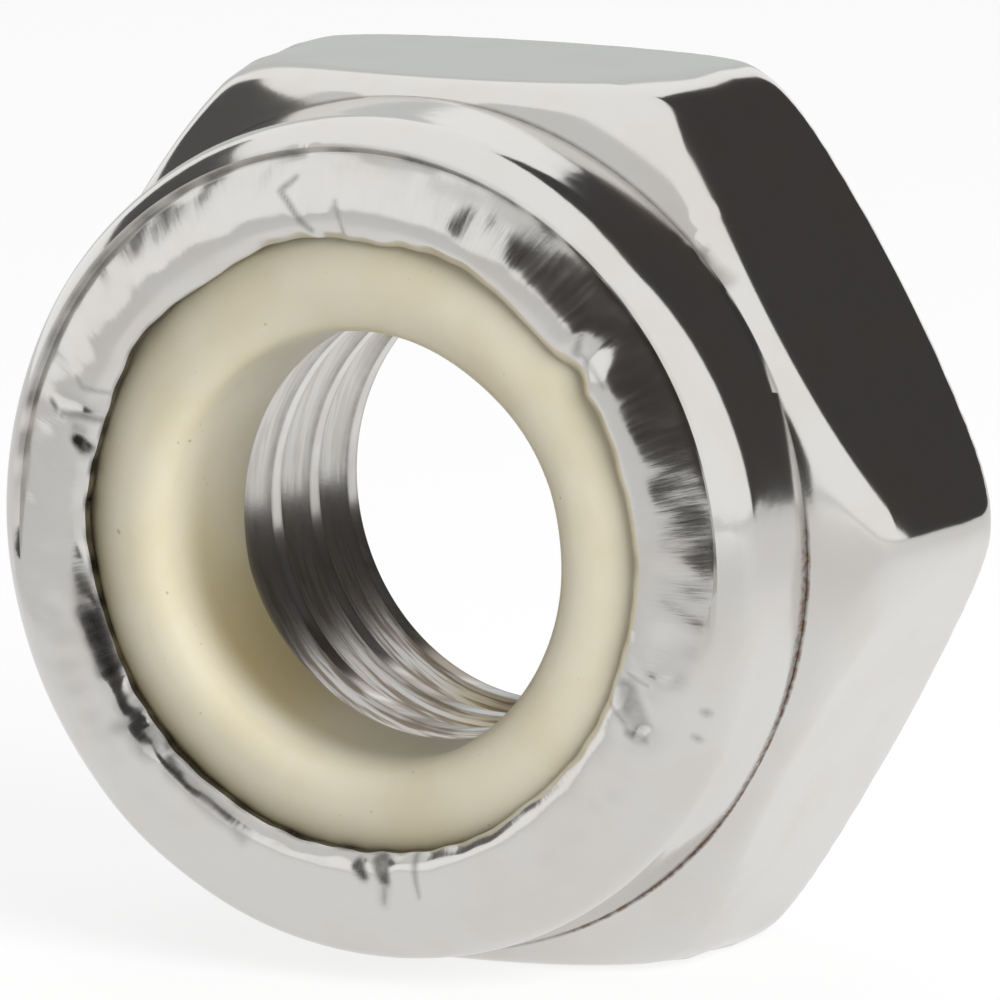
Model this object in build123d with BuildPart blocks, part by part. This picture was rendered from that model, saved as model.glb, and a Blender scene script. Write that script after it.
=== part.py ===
from build123d import *
import math
import os

# Nylon insert lock nut for a 10 mm coarse screw, in millimetres.
# The thread's axis is Y: the bearing face lies at y = 0 and the crimped collar points to -Y.
# Z is up, and the nut stands on the hexagon flat that faces -Z.

# Hexagon
across_flats = 17.0
hex_height = 6.2
hex_sides = 6
corner_radius = 0.9
chamfer_angle = 30.0
bearing_face_inset = 0.6
blank_overhang = 0.075
blank_front_run = 0.05
blank_back_radius = 1.5
front_edge_radius = 0.9
back_edge_radius = 0.3

# Thread, coarse and right-hand, with a countersink at its mouth
thread_diameter = 10.0
thread_core_diameter = 8.4
thread_pitch = 1.5
thread_root_flat = 0.19
thread_flank_angle = 30.0
thread_start_angle = 29.0
thread_overcut = 0.15
countersink_clearance = 0.4
countersink_diameter = thread_diameter + countersink_clearance
countersink_angle = 45.0

# Collar, a thin wall that stands on the hexagon and is rolled in over the ring
collar_height = 2.75
collar_inset = 0.3
collar_draft = 0.14
collar_wall = 1.15
shoulder_radius = 1.25
shoulder_sweep = 52.0
crease_width = 0.12
crease_depth = 0.14
crimp_slope = 20.0

# Lip, the rolled edge that holds the ring in
lip_reach = 2.35
lip_nose_width = 0.46
lip_nose_drop = 0.22
lip_nose_bulge = 0.06
lip_edge_height = 0.2

# Marks punched into the lip to stop the ring from turning
stake_count = 6
stake_start_angle = 38.5
stake_radius = 0.55
stake_depth = 0.32
stake_length = 1.25
stake_tilt = 12.0

# Ring pocket and nylon ring
seat_sink = 0.5
pocket_cone_height = 1.03
insert_clearance = 0.02
insert_bore_clearance = 0.02
insert_entry_radius = 0.6
insert_crown_drop = 0.02

# Worked-out places, as radius from the thread's axis and height above the bearing face
chamfer_slope = math.tan(math.radians(chamfer_angle))
apothem = across_flats / 2
collar_radius = apothem - collar_inset
corner_reach = (apothem - corner_radius) / math.cos(math.pi / hex_sides) + corner_radius
blank_radius = corner_reach + blank_overhang
blank_front_radius = (blank_radius - collar_radius - blank_front_run) / math.sin(math.radians(chamfer_angle))
bearing_face_radius = apothem - bearing_face_inset
lip_bore_radius = collar_radius - lip_reach
thread_core_radius = thread_core_diameter / 2
thread_depth = thread_diameter / 2 - thread_core_radius
groove_root = thread_root_flat / 2
groove_mouth = groove_root + (thread_depth + thread_overcut) * math.tan(math.radians(thread_flank_angle))
countersink_radius = countersink_diameter / 2
countersink_depth = (countersink_radius - thread_core_radius) * math.tan(math.radians(countersink_angle))

total_height = hex_height + collar_height
shoulder_turn = math.radians(shoulder_sweep)
collar_top_radius = collar_radius - collar_draft
shoulder_centre_radius = collar_top_radius - shoulder_radius
shoulder_end_radius = shoulder_centre_radius + shoulder_radius * math.cos(shoulder_turn)
crease_radius = shoulder_end_radius - crease_width
crimp_top_radius = lip_bore_radius + lip_nose_width
crease_height = total_height - (crease_radius - crimp_top_radius) * math.tan(math.radians(crimp_slope))
shoulder_end_height = crease_height + crease_depth
shoulder_centre_height = shoulder_end_height - shoulder_radius * math.sin(shoulder_turn)
shoulder_middle = (
    shoulder_centre_radius + shoulder_radius * math.cos(shoulder_turn / 2),
    shoulder_centre_height + shoulder_radius * math.sin(shoulder_turn / 2),
)

lip_front_height = total_height - lip_nose_drop
lip_back_height = lip_front_height - lip_edge_height
pocket_radius = collar_radius - collar_wall
seat_height = hex_height - seat_sink
pocket_top = lip_back_height - pocket_cone_height
lip_nose = (
    (crimp_top_radius + lip_bore_radius) / 2,
    (total_height + lip_front_height) / 2 + lip_nose_bulge,
)

# Sketch planes: one across the axis at the bearing face, one through the axis, and its other half for the bore
hex_plane = Plane(origin=(0, 0, 0), x_dir=(1, 0, 0), z_dir=(0, -1, 0))
section_plane = Plane(origin=(0, 0, 0), x_dir=(1, 0, 0), z_dir=(0, 0, -1))
bore_plane = Plane(origin=(0, 0, 0), x_dir=(-1, 0, 0), z_dir=(0, 0, 1))

# Turned blank: what the chamfering cuts leave of the hexagon bar
with BuildPart() as turned_blank:
    with BuildSketch(section_plane) as blank_section:
        with BuildLine():
            Polyline(
                (0, 0),
                (bearing_face_radius, 0),
                (blank_radius, (blank_radius - bearing_face_radius) * chamfer_slope),
                (blank_radius, hex_height - (blank_radius - collar_radius) * chamfer_slope),
                (collar_radius, hex_height),
                (0, hex_height),
                close=True,
            )
        make_face()
        fillet(blank_section.vertices().group_by(Axis.X)[-1].sort_by(Axis.Y)[-1], blank_front_radius)
        fillet(blank_section.vertices().group_by(Axis.X)[-1].sort_by(Axis.Y)[0], blank_back_radius)
    revolve(axis=Axis.Y)

# Stake punch: a round-nosed tool that lies along a radius and sinks towards the bore
stake_direction = Vector(-math.cos(math.radians(stake_tilt)), math.sin(math.radians(stake_tilt)), 0)
stake_outer_end = Vector(lip_bore_radius + stake_length, stake_depth - stake_radius - total_height, 0)
with BuildPart() as stake_punch:
    with BuildSketch(Plane(origin=stake_outer_end, z_dir=stake_direction)):
        Circle(stake_radius)
    extrude(amount=2 * stake_length)

# Thread groove: one turn of a V with a flat root, which repeats from outside the bearing face into the pocket
with BuildPart() as groove_turn:
    with BuildLine() as turn_path:
        Helix(pitch=thread_pitch, height=thread_pitch, radius=thread_core_radius, direction=(0, -1, 0))
    turn_start = turn_path.line @ 0
    turn_outward = Vector(turn_start.X, 0, turn_start.Z).normalized()
    turn_plane = Plane(turn_start, x_dir=turn_outward, z_dir=turn_outward.cross(Vector(0, 1, 0)))
    with BuildSketch(turn_plane):
        with BuildLine():
            Polyline(
                (thread_depth, -groove_root),
                (thread_depth, groove_root),
                (-thread_overcut, groove_mouth),
                (-thread_overcut, -groove_mouth),
                close=True,
            )
        make_face()
    sweep(path=turn_path.line, is_frenet=True)
turn_start_angle = math.degrees(math.atan2(turn_start.Z, turn_start.X))
groove_turns = math.ceil((seat_height + groove_mouth) / thread_pitch) + 1

# Nut body: hexagon, threaded bore, collar and crimped lip in one piece of metal
with BuildPart() as nut_body:
    with BuildSketch(hex_plane):
        RegularPolygon(radius=apothem, side_count=hex_sides, major_radius=False)
    extrude(amount=hex_height)
    fillet(nut_body.edges().filter_by(Axis.Y), corner_radius)
    add(turned_blank.part, mode=Mode.INTERSECT)
    rim_edges = nut_body.edges().filter_by(Axis.Y, reverse=True)
    front_rim = rim_edges.filter_by_position(Axis.Y, -hex_height, -hex_height / 2, inclusive=(False, False))
    fillet(front_rim, front_edge_radius)
    rim_edges = nut_body.edges().filter_by(Axis.Y, reverse=True)
    back_rim = rim_edges.filter_by_position(Axis.Y, -hex_height / 2, 0, inclusive=(False, False))
    fillet(back_rim, back_edge_radius)

    with BuildSketch(section_plane):
        with BuildLine():
            Line((0, seat_height), (collar_radius, seat_height))
            Line((collar_radius, seat_height), (collar_radius, hex_height))
            Line((collar_radius, hex_height), (collar_top_radius, shoulder_centre_height))
            ThreePointArc(
                (collar_top_radius, shoulder_centre_height),
                shoulder_middle,
                (shoulder_end_radius, shoulder_end_height),
            )
            Line((shoulder_end_radius, shoulder_end_height), (crease_radius, crease_height))
            Line((crease_radius, crease_height), (crimp_top_radius, total_height))
            ThreePointArc((crimp_top_radius, total_height), lip_nose, (lip_bore_radius, lip_front_height))
            Line((lip_bore_radius, lip_front_height), (0, lip_front_height))
            Line((0, lip_front_height), (0, seat_height))
        make_face()
    revolve(axis=Axis.Y)

    with BuildSketch(bore_plane):
        with BuildLine():
            Polyline(
                (0, 0),
                (countersink_radius, 0),
                (thread_core_radius, countersink_depth),
                (thread_core_radius, seat_height),
                (pocket_radius, seat_height),
                (pocket_radius, pocket_top),
                (lip_bore_radius, lip_back_height),
                (lip_bore_radius, lip_front_height),
                (0, lip_front_height),
                close=True,
            )
        make_face()
    revolve(axis=Axis.Y, mode=Mode.SUBTRACT)

    thread_turn = groove_turn.part.rotate(Axis.Y, turn_start_angle - thread_start_angle)
    for turn in range(groove_turns):
        with Locations((0, (1 - turn) * thread_pitch, 0)):
            add(thread_turn, mode=Mode.SUBTRACT)

    for stake in range(stake_count):
        stake_angle = stake_start_angle + stake * 360 / stake_count
        add(stake_punch.part.rotate(Axis.Y, -stake_angle), mode=Mode.SUBTRACT)

# Nylon ring: it fills the pocket and swells out through the lip
insert_bore_radius = thread_core_radius + insert_bore_clearance
insert_radius = pocket_radius - insert_clearance
insert_neck_radius = lip_bore_radius - insert_clearance
insert_crown_radius = insert_bore_radius + insert_entry_radius
insert_crown_height = total_height - insert_crown_drop
with BuildPart() as nylon_insert:
    with BuildSketch(section_plane):
        with BuildLine():
            Polyline(
                (insert_bore_radius, insert_crown_height - insert_entry_radius),
                (insert_bore_radius, seat_height),
                (insert_radius, seat_height),
                (insert_radius, pocket_top - insert_clearance),
                (insert_neck_radius, lip_back_height - insert_clearance),
            )
            TangentArc(
                (insert_crown_radius, insert_crown_height),
                (insert_neck_radius, lip_back_height - insert_clearance),
                tangent=(1, 0),
            )
            TangentArc(
                (insert_crown_radius, insert_crown_height),
                (insert_bore_radius, insert_crown_height - insert_entry_radius),
                tangent=(-1, 0),
            )
        make_face()
    revolve(axis=Axis.Y)

nut_body.part.label = "nut_body"
nylon_insert.part.label = "nylon_insert"

os.makedirs("parts", exist_ok=True)
export_step(nut_body.part, "parts/nut_body.step")
export_step(nylon_insert.part, "parts/nylon_insert.step")
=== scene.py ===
"""Looks of a nylon insert lock nut: its formed stainless body and the nylon ring crimped into it.

The part's own frame holds throughout: the thread's axis is Y, the bearing face lies at y = 0, the
crimped collar points to -Y and Z is up. Sizes are in millimetres and meshes are made in metres.
A place on the nut is given as radius from the axis, height above the bearing face and turn angle,
which runs from +X towards +Z.
"""

from __future__ import annotations

import logging
import math
from dataclasses import dataclass, field
from enum import Enum

import bpy
import numpy as np
from mathutils import Matrix, Vector

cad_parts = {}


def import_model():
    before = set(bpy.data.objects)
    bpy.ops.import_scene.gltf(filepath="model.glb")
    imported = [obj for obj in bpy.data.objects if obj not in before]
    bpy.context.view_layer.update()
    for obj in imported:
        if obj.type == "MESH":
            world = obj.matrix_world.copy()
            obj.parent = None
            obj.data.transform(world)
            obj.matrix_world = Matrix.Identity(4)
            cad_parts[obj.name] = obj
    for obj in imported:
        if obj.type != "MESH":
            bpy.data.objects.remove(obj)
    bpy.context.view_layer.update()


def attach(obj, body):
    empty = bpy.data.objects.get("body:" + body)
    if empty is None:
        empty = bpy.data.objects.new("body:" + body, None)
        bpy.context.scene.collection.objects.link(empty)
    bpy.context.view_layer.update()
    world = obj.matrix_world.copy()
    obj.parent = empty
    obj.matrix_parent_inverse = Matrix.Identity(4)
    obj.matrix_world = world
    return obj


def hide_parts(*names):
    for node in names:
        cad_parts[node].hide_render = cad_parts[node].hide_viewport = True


MM = 0.001
FULL_TURN = 2 * math.pi
LOG = logging.getLogger("lock_nut")

Point = tuple[float, float]


# Small tools for meshes


def linear(colour: str) -> tuple[float, float, float, float]:
    """Turn an sRGB hex colour into linear light.

    Args:
        colour: six hex digits, with or without a leading hash.

    Returns:
        Linear red, green, blue and an alpha of one.
    """
    digits = colour.lstrip("#")
    channels = [int(digits[i : i + 2], 16) / 255 for i in (0, 2, 4)]
    light = [c / 12.92 if c <= 0.04045 else ((c + 0.055) / 1.055) ** 2.4 for c in channels]
    return (light[0], light[1], light[2], 1.0)


def clear_selection() -> None:
    """Leave nothing selected and nothing active."""
    bpy.ops.object.select_all(action="DESELECT")
    bpy.context.view_layer.objects.active = None


def make_active(piece: bpy.types.Object) -> None:
    """Select one piece alone and make it the active one."""
    clear_selection()
    piece.select_set(True)
    bpy.context.view_layer.objects.active = piece


def run_to(start: Point, end: Point, count: int) -> list[Point]:
    """Divide a straight run, leaving its end out.

    Args:
        start: first point.
        end: point the run goes to.
        count: number of points.

    Returns:
        Points from start on, evenly spaced.
    """
    return [
        (start[0] + (end[0] - start[0]) * i / count, start[1] + (end[1] - start[1]) * i / count)
        for i in range(count)
    ]


def arc_to(centre: Point, radius: float, start: float, end: float, count: int) -> list[Point]:
    """Divide a circular arc, leaving its end out.

    Args:
        centre: middle of the circle.
        radius: its radius.
        start: first angle in degrees.
        end: last angle in degrees.
        count: number of points.

    Returns:
        Points from the first angle on, evenly spaced.
    """
    turns = [math.radians(start + (end - start) * i / count) for i in range(count)]
    return [(centre[0] + radius * math.cos(t), centre[1] + radius * math.sin(t)) for t in turns]


def bow_to(start: Point, middle: Point, end: Point, count: int) -> list[Point]:
    """Divide a bowed run through a middle point, leaving its end out.

    Args:
        start: first point.
        middle: point half way along.
        end: point the run goes to.
        count: number of points.

    Returns:
        Points along the parabola through the three.
    """
    points = []
    for i in range(count):
        t = i / count
        a, b, c = (1 - t) * (1 - 2 * t), 4 * t * (1 - t), t * (2 * t - 1)
        points.append(
            (a * start[0] + b * middle[0] + c * end[0], a * start[1] + b * middle[1] + c * end[1])
        )
    return points


def spin_section(name: str, section: list[Point], steps: int, closed: bool) -> bpy.types.Object:
    """Draw a section beside the axis and spin it round once.

    Args:
        name: name of the new piece.
        section: radius and height of each point, in millimetres.
        steps: number of columns round the axis.
        closed: whether the section's last point joins its first.

    Returns:
        The spun piece, its seam merged.
    """
    clear_selection()
    bpy.ops.mesh.primitive_circle_add(vertices=len(section), radius=MM, fill_type="NOTHING")
    piece = bpy.context.object
    piece.name = name
    piece.data.name = name
    for vertex, (radius, height) in zip(piece.data.vertices, section):
        vertex.co = (radius * MM, -height * MM, 0)
    if not closed:
        for edge in piece.data.edges:
            edge.select = set(edge.vertices) == {0, len(section) - 1}
        for vertex in piece.data.vertices:
            vertex.select = vertex.index in (0, len(section) - 1)
        bpy.ops.object.mode_set(mode="EDIT")
        bpy.ops.mesh.select_mode(type="EDGE")
        bpy.ops.mesh.delete(type="EDGE")
        bpy.ops.object.mode_set(mode="OBJECT")
    bpy.ops.object.mode_set(mode="EDIT")
    bpy.ops.mesh.select_mode(type="VERT")
    bpy.ops.mesh.select_all(action="SELECT")
    bpy.ops.mesh.spin(steps=steps, angle=FULL_TURN, center=(0, 0, 0), axis=(0, 1, 0))
    bpy.ops.mesh.select_all(action="SELECT")
    bpy.ops.mesh.remove_doubles(threshold=1e-7)
    bpy.ops.object.mode_set(mode="OBJECT")
    return piece


def bridge_rims(piece: bpy.types.Object, rims: list[Point]) -> None:
    """Bridge two open rims of a piece.

    Args:
        piece: the piece, in object mode.
        rims: radius and height of each rim, in millimetres.
    """
    make_active(piece)
    where = Cylinder.of(piece)
    chosen = np.zeros(len(where.radius), bool)
    for radius, height in rims:
        chosen |= (abs(where.radius - radius) < 1e-3) & (abs(where.height - height) < 1e-3)
    bpy.ops.object.mode_set(mode="EDIT")
    bpy.ops.mesh.select_mode(type="VERT")
    bpy.ops.mesh.select_all(action="DESELECT")
    bpy.ops.object.mode_set(mode="OBJECT")
    piece.data.vertices.foreach_set("select", chosen)
    bpy.ops.object.mode_set(mode="EDIT")
    bpy.ops.mesh.select_mode(type="EDGE")
    bpy.ops.mesh.bridge_edge_loops()
    bpy.ops.object.mode_set(mode="OBJECT")


def close_shell(piece: bpy.types.Object, smooth_angle: float) -> None:
    """Merge doubles, turn all faces outwards and shade the piece.

    Args:
        piece: the piece, in object mode.
        smooth_angle: edges blunter than this many degrees are shaded smooth.
    """
    make_active(piece)
    bpy.ops.object.mode_set(mode="EDIT")
    bpy.ops.mesh.select_all(action="SELECT")
    bpy.ops.mesh.remove_doubles(threshold=1e-7)
    bpy.ops.mesh.normals_make_consistent(inside=False)
    bpy.ops.mesh.select_all(action="DESELECT")
    bpy.ops.object.mode_set(mode="OBJECT")
    bpy.ops.object.shade_smooth_by_angle(angle=math.radians(smooth_angle))


def step_up(value: np.ndarray, low: float, high: float) -> np.ndarray:
    """Rise smoothly from 0 at low to 1 at high; a low above high falls instead."""
    t = np.clip((value - low) / (high - low), 0, 1)
    return t * t * (3 - 2 * t)


def band(value: np.ndarray, low: float, high: float, soft: float) -> np.ndarray:
    """Be 1 between low and high, and fade to 0 over soft beyond each."""
    return step_up(value, low - soft, low) * step_up(value, high + soft, high)


def turn_from(angle: np.ndarray, degrees: float) -> np.ndarray:
    """Turn angle from a direction in degrees, in radians from -pi to pi."""
    return (angle - math.radians(degrees) + math.pi) % FULL_TURN - math.pi


def mark_points(piece: bpy.types.Object, name: str, values: np.ndarray) -> None:
    """Store a number for each vertex, which a material reads as an attribute.

    Args:
        piece: the piece, in object mode.
        name: name of the attribute.
        values: one number for each vertex.
    """
    layer = piece.data.attributes.new(name, "FLOAT", "POINT")
    layer.data.foreach_set("value", values.astype(np.float32))


@dataclass
class Cylinder:
    """Places on a piece, as radius, height and turn angle.

    Args:
        radius: distance from the axis in millimetres.
        height: height above the bearing face in millimetres.
        angle: turn angle in radians.
    """

    radius: np.ndarray
    height: np.ndarray
    angle: np.ndarray

    @classmethod
    def of(cls, piece: bpy.types.Object) -> "Cylinder":
        """Read a piece's vertices.

        Args:
            piece: the piece, in object mode.

        Returns:
            Its places.
        """
        flat = np.empty(len(piece.data.vertices) * 3)
        piece.data.vertices.foreach_get("co", flat)
        x, y, z = flat.reshape(-1, 3).T / MM
        return cls(np.hypot(x, z), -y, np.arctan2(z, x))

    def write(self, piece: bpy.types.Object) -> None:
        """Move a piece's vertices to these places."""
        x, z = self.radius * np.cos(self.angle), self.radius * np.sin(self.angle)
        flat = np.stack([x, -self.height, z], 1) * MM
        piece.data.vertices.foreach_set("co", flat.ravel())
        piece.data.update()


@dataclass
class Ripple:
    """Seeded unevenness made of waves that close round the axis.

    Args:
        seed: seed of its random numbers.
        orders: lowest and highest number of waves in a turn.
        across: most waves along a millimetre of radius or height.
        waves: number of waves summed.
    """

    seed: int
    orders: tuple[int, int]
    across: float = 0.0
    waves: int = 24

    def at(self, angle: np.ndarray, along: np.ndarray | float = 0.0) -> np.ndarray:
        """Read the unevenness.

        Args:
            angle: turn angle in radians.
            along: radius or height in millimetres.

        Returns:
            Values with a spread of about one.
        """
        chance = np.random.default_rng(self.seed)
        total = np.zeros_like(angle)
        for _ in range(self.waves):
            order = int(chance.integers(self.orders[0], self.orders[1] + 1))
            tilt = chance.uniform(-self.across, self.across) * FULL_TURN
            total += np.cos(order * angle + tilt * along + chance.uniform(0, FULL_TURN))
        return total * math.sqrt(2 / self.waves)


# Finishes


def add_node(
    tree: bpy.types.NodeTree,
    kind: str,
    settings: dict[str, object] | None = None,
    inputs: dict[str | int, object] | None = None,
) -> bpy.types.Node:
    """Add a node with its settings, values and links.

    Args:
        tree: node tree it goes into.
        kind: Blender's name of the node type, without its "ShaderNode".
        settings: attributes of the node by name.
        inputs: by name or number, a value, an output socket, or a node whose first output in use feeds it.

    Returns:
        The new node.
    """
    node = tree.nodes.new("ShaderNode" + kind)
    for name, value in (settings or {}).items():
        setattr(node, name, value)
    for name, value in (inputs or {}).items():
        if isinstance(value, bpy.types.Node):
            value = next(socket for socket in value.outputs if socket.enabled)
        if isinstance(value, bpy.types.NodeSocket):
            tree.links.new(value, node.inputs[name])
        else:
            node.inputs[name].default_value = value
    return node


def new_material(name: str) -> tuple[bpy.types.Material, bpy.types.NodeTree]:
    """Start a material with an empty node tree."""
    material = bpy.data.materials.new(name)
    material.use_nodes = True
    material.node_tree.nodes.clear()
    return material, material.node_tree


@dataclass(frozen=True)
class TumbledStainless:
    """Cold-formed stainless steel, tumbled until it shines.

    It mirrors its surroundings a little blurred. Forming left soft dents on the collar and fine
    radial streaks on the crimped slope, the tap left fine lines along the thread, and dirt and
    painted shade darken the crevices. Sizes are in millimetres.

    Args:
        colour: colour of the clean metal.
        warm_colour: colour of its faint warm patches.
        thread_colour: colour of the duller lines in the thread.
        grime_and_shade_colour: colour of thick dirt and of the painted shade in crevices.
        rust_colour: colour of the rust at the collar's foot.
        roughness: roughness of the clean metal.
        patch_grain: size of the warm patches.
        dent_grain: size of the soft dents.
        dent_depth: depth of the dents on the collar.
        streak_width: spacing of the radial streaks.
        streak_length: length of a streak.
        streak_depth: depth of a streak.
        tap_line: spacing of the lines that the tap left.
        tap_depth: depth of a tap line.
        grit_grain: size of the tumbling grit's scratches, coarser than real so that they show.
        grit_depth: depth of the scratches.
        dirt_and_shade_grain: size of the patches of dirt and painted shade.
        rust_grain: size of the rust's specks.
    """

    colour: str = "#DEDCD9"
    warm_colour: str = "#DAD3CC"
    thread_colour: str = "#978A7C"
    grime_and_shade_colour: str = "#34312E"
    rust_colour: str = "#7A5A41"
    roughness: float = 0.12
    patch_grain: float = 1.6
    dent_grain: float = 0.5
    dent_depth: float = 0.004
    streak_width: float = 0.11
    streak_length: float = 0.9
    streak_depth: float = 0.0026
    tap_line: float = 0.07
    tap_depth: float = 0.0009
    grit_grain: float = 0.06
    grit_depth: float = 0.0004
    dirt_and_shade_grain: float = 0.25
    rust_grain: float = 0.12

    def build(self) -> bpy.types.Material:
        """Make the material.

        Returns:
            The finished material.
        """
        material, tree = new_material("tumbled_stainless_steel")
        multiply, multiply_add = {"operation": "MULTIPLY"}, {"operation": "MULTIPLY_ADD"}
        smooth, mix_colour = {"interpolation_type": "SMOOTHSTEP"}, {"data_type": "RGBA"}
        where = add_node(tree, "TexCoord").outputs["Object"]
        x, y, z = add_node(tree, "SeparateXYZ", {}, {0: where}).outputs
        height = add_node(tree, "Math", multiply, {0: y, 1: -1 / MM})
        across = add_node(tree, "CombineXYZ", {}, {0: x, 2: z})
        reach = add_node(tree, "VectorMath", {"operation": "LENGTH"}, {0: across})
        radius = add_node(tree, "Math", multiply, {0: reach, 1: 1 / MM})
        facing = add_node(tree, "VectorMath", {"operation": "NORMALIZE"}, {0: across})
        turn = add_node(tree, "SeparateXYZ", {}, {0: facing}).outputs

        # Where the collar, its crimped slope and the thread are
        on_collar = add_node(tree, "MapRange", smooth, {0: height, 1: 6.4, 2: 7.2})
        is_high = add_node(tree, "MapRange", smooth, {0: height, 1: 8.2, 2: 8.4})
        is_inside = add_node(tree, "MapRange", smooth, {0: radius, 1: 7.5, 2: 7.3})
        on_crimp = add_node(tree, "Math", multiply, {0: is_high, 1: is_inside})
        in_thread = add_node(tree, "MapRange", smooth, {0: radius, 1: 5.3, 2: 5.2})

        # Radial streaks: noise on the circle, drawn out along the radius
        round_scale = 7.0 / self.streak_width
        streak_x = add_node(tree, "Math", multiply, {0: turn[0], 1: round_scale})
        streak_y = add_node(tree, "Math", multiply, {0: radius, 1: 1 / self.streak_length})
        streak_z = add_node(tree, "Math", multiply, {0: turn[2], 1: round_scale})
        streak_place = add_node(tree, "CombineXYZ", {}, {0: streak_x, 1: streak_y, 2: streak_z})
        streaks = add_node(tree, "TexNoise", {}, {"Vector": streak_place, "Scale": 1.0, "Detail": 3.0})
        crimp_streaks = add_node(tree, "Math", multiply, {0: streaks, 1: on_crimp})

        # Lines along the thread: noise that changes quickly with the radius and slowly round the axis
        line_shift = add_node(tree, "Math", multiply, {0: height, 1: 0.8})
        line_x = add_node(tree, "Math", multiply_add, {0: turn[0], 1: 3.0, 2: line_shift})
        line_y = add_node(tree, "Math", multiply, {0: radius, 1: 1 / self.tap_line})
        line_z = add_node(tree, "Math", multiply, {0: turn[2], 1: 3.0})
        line_place = add_node(tree, "CombineXYZ", {}, {0: line_x, 1: line_y, 2: line_z})
        lines = add_node(tree, "TexNoise", {}, {"Vector": line_place, "Scale": 1.0, "Detail": 2.0})
        tap_lines = add_node(tree, "Math", multiply, {0: lines, 1: in_thread})

        # Relief in metres: dents, streaks, tap lines and grit
        inputs = {"Vector": where, "Scale": 1 / (self.dent_grain * MM), "Detail": 1.0}
        dents = add_node(tree, "TexNoise", {}, inputs)
        dent_share = add_node(tree, "Math", multiply_add, {0: on_collar, 1: 0.85, 2: 0.15})
        dent_size = add_node(tree, "Math", multiply, {0: dent_share, 1: self.dent_depth * MM})
        relief = add_node(tree, "Math", multiply, {0: dents, 1: dent_size})
        inputs = {0: crimp_streaks, 1: self.streak_depth * MM, 2: relief}
        relief = add_node(tree, "Math", multiply_add, inputs)
        relief = add_node(tree, "Math", multiply_add, {0: tap_lines, 1: self.tap_depth * MM, 2: relief})
        inputs = {"Vector": where, "Scale": 1 / (self.grit_grain * MM), "Detail": 2.0}
        grit = add_node(tree, "TexNoise", {}, inputs)
        relief = add_node(tree, "Math", multiply_add, {0: grit, 1: self.grit_depth * MM, 2: relief})
        bump = add_node(tree, "Bump", {}, {"Strength": 1.0, "Distance": 1.0, "Height": relief})

        # Colour: faint warm patches, tap lines duller and more so towards the bottom, then dirt with
        # painted shade, and rust, where marked
        inputs = {"Vector": where, "Scale": 1 / (self.patch_grain * MM), "Detail": 3.0}
        patches = add_node(tree, "TexNoise", {}, inputs)
        warm = add_node(tree, "MapRange", smooth, {0: patches, 1: 0.4, 2: 0.75, 3: 0.0, 4: 0.5})
        inputs = {0: warm, 6: linear(self.colour), 7: linear(self.warm_colour)}
        colour = add_node(tree, "Mix", mix_colour, inputs)
        most_dull = add_node(tree, "MapRange", smooth, {0: z, 1: 0.0, 2: -4.0 * MM, 3: 0.2, 4: 0.95})
        dull = add_node(tree, "MapRange", smooth, {0: lines, 1: 0.42, 2: 0.62, 3: 0.0, 4: most_dull})
        dull = add_node(tree, "Math", multiply, {0: dull, 1: in_thread})
        colour = add_node(tree, "Mix", mix_colour, {0: dull, 6: colour, 7: linear(self.thread_colour)})
        # Dirt and painted shade in the crevices, pits and thread, where the mesh marks them
        grime_and_shade = add_node(tree, "Attribute", {"attribute_name": "grime_and_shade"}).outputs["Fac"]
        inputs = {"Vector": where, "Scale": 1 / (self.dirt_and_shade_grain * MM), "Detail": 2.0}
        ragged = add_node(tree, "TexNoise", {}, inputs)
        ragged = add_node(tree, "MapRange", {}, {0: ragged, 1: 0.3, 2: 0.7, 3: 0.8, 4: 1.1})
        dirt_and_shade = add_node(tree, "Math", {"operation": "MULTIPLY", "use_clamp": True}, {0: grime_and_shade, 1: ragged})
        colour = add_node(tree, "Mix", mix_colour, {0: dirt_and_shade, 6: colour, 7: linear(self.grime_and_shade_colour)})
        rust = add_node(tree, "Attribute", {"attribute_name": "rust"}).outputs["Fac"]
        inputs = {"Vector": where, "Scale": 1 / (self.rust_grain * MM), "Detail": 3.0}
        speckle = add_node(tree, "TexNoise", {}, inputs)
        speckle = add_node(tree, "MapRange", smooth, {0: speckle, 1: 0.42, 2: 0.6})
        rusty = add_node(tree, "Math", multiply, {0: rust, 1: speckle})
        colour = add_node(tree, "Mix", mix_colour, {0: rusty, 6: colour, 7: linear(self.rust_colour)})

        # Roughness: a little more in patches, streaks, tap lines, and where dirt and painted shade lie
        rough = add_node(tree, "Math", multiply_add, {0: patches, 1: 0.06, 2: self.roughness - 0.03})
        rough = add_node(tree, "Math", multiply_add, {0: crimp_streaks, 1: 0.12, 2: rough})
        rough = add_node(tree, "Math", multiply_add, {0: tap_lines, 1: 0.1, 2: rough})
        rough = add_node(tree, "Math", multiply_add, {0: dirt_and_shade, 1: 0.12, 2: rough})
        inputs = {"Base Color": colour, "Metallic": 1.0, "Roughness": rough, "Normal": bump}
        shader = add_node(tree, "BsdfPrincipled", {}, inputs)
        add_node(tree, "OutputMaterial", {}, {"Surface": shader})
        return material


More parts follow.
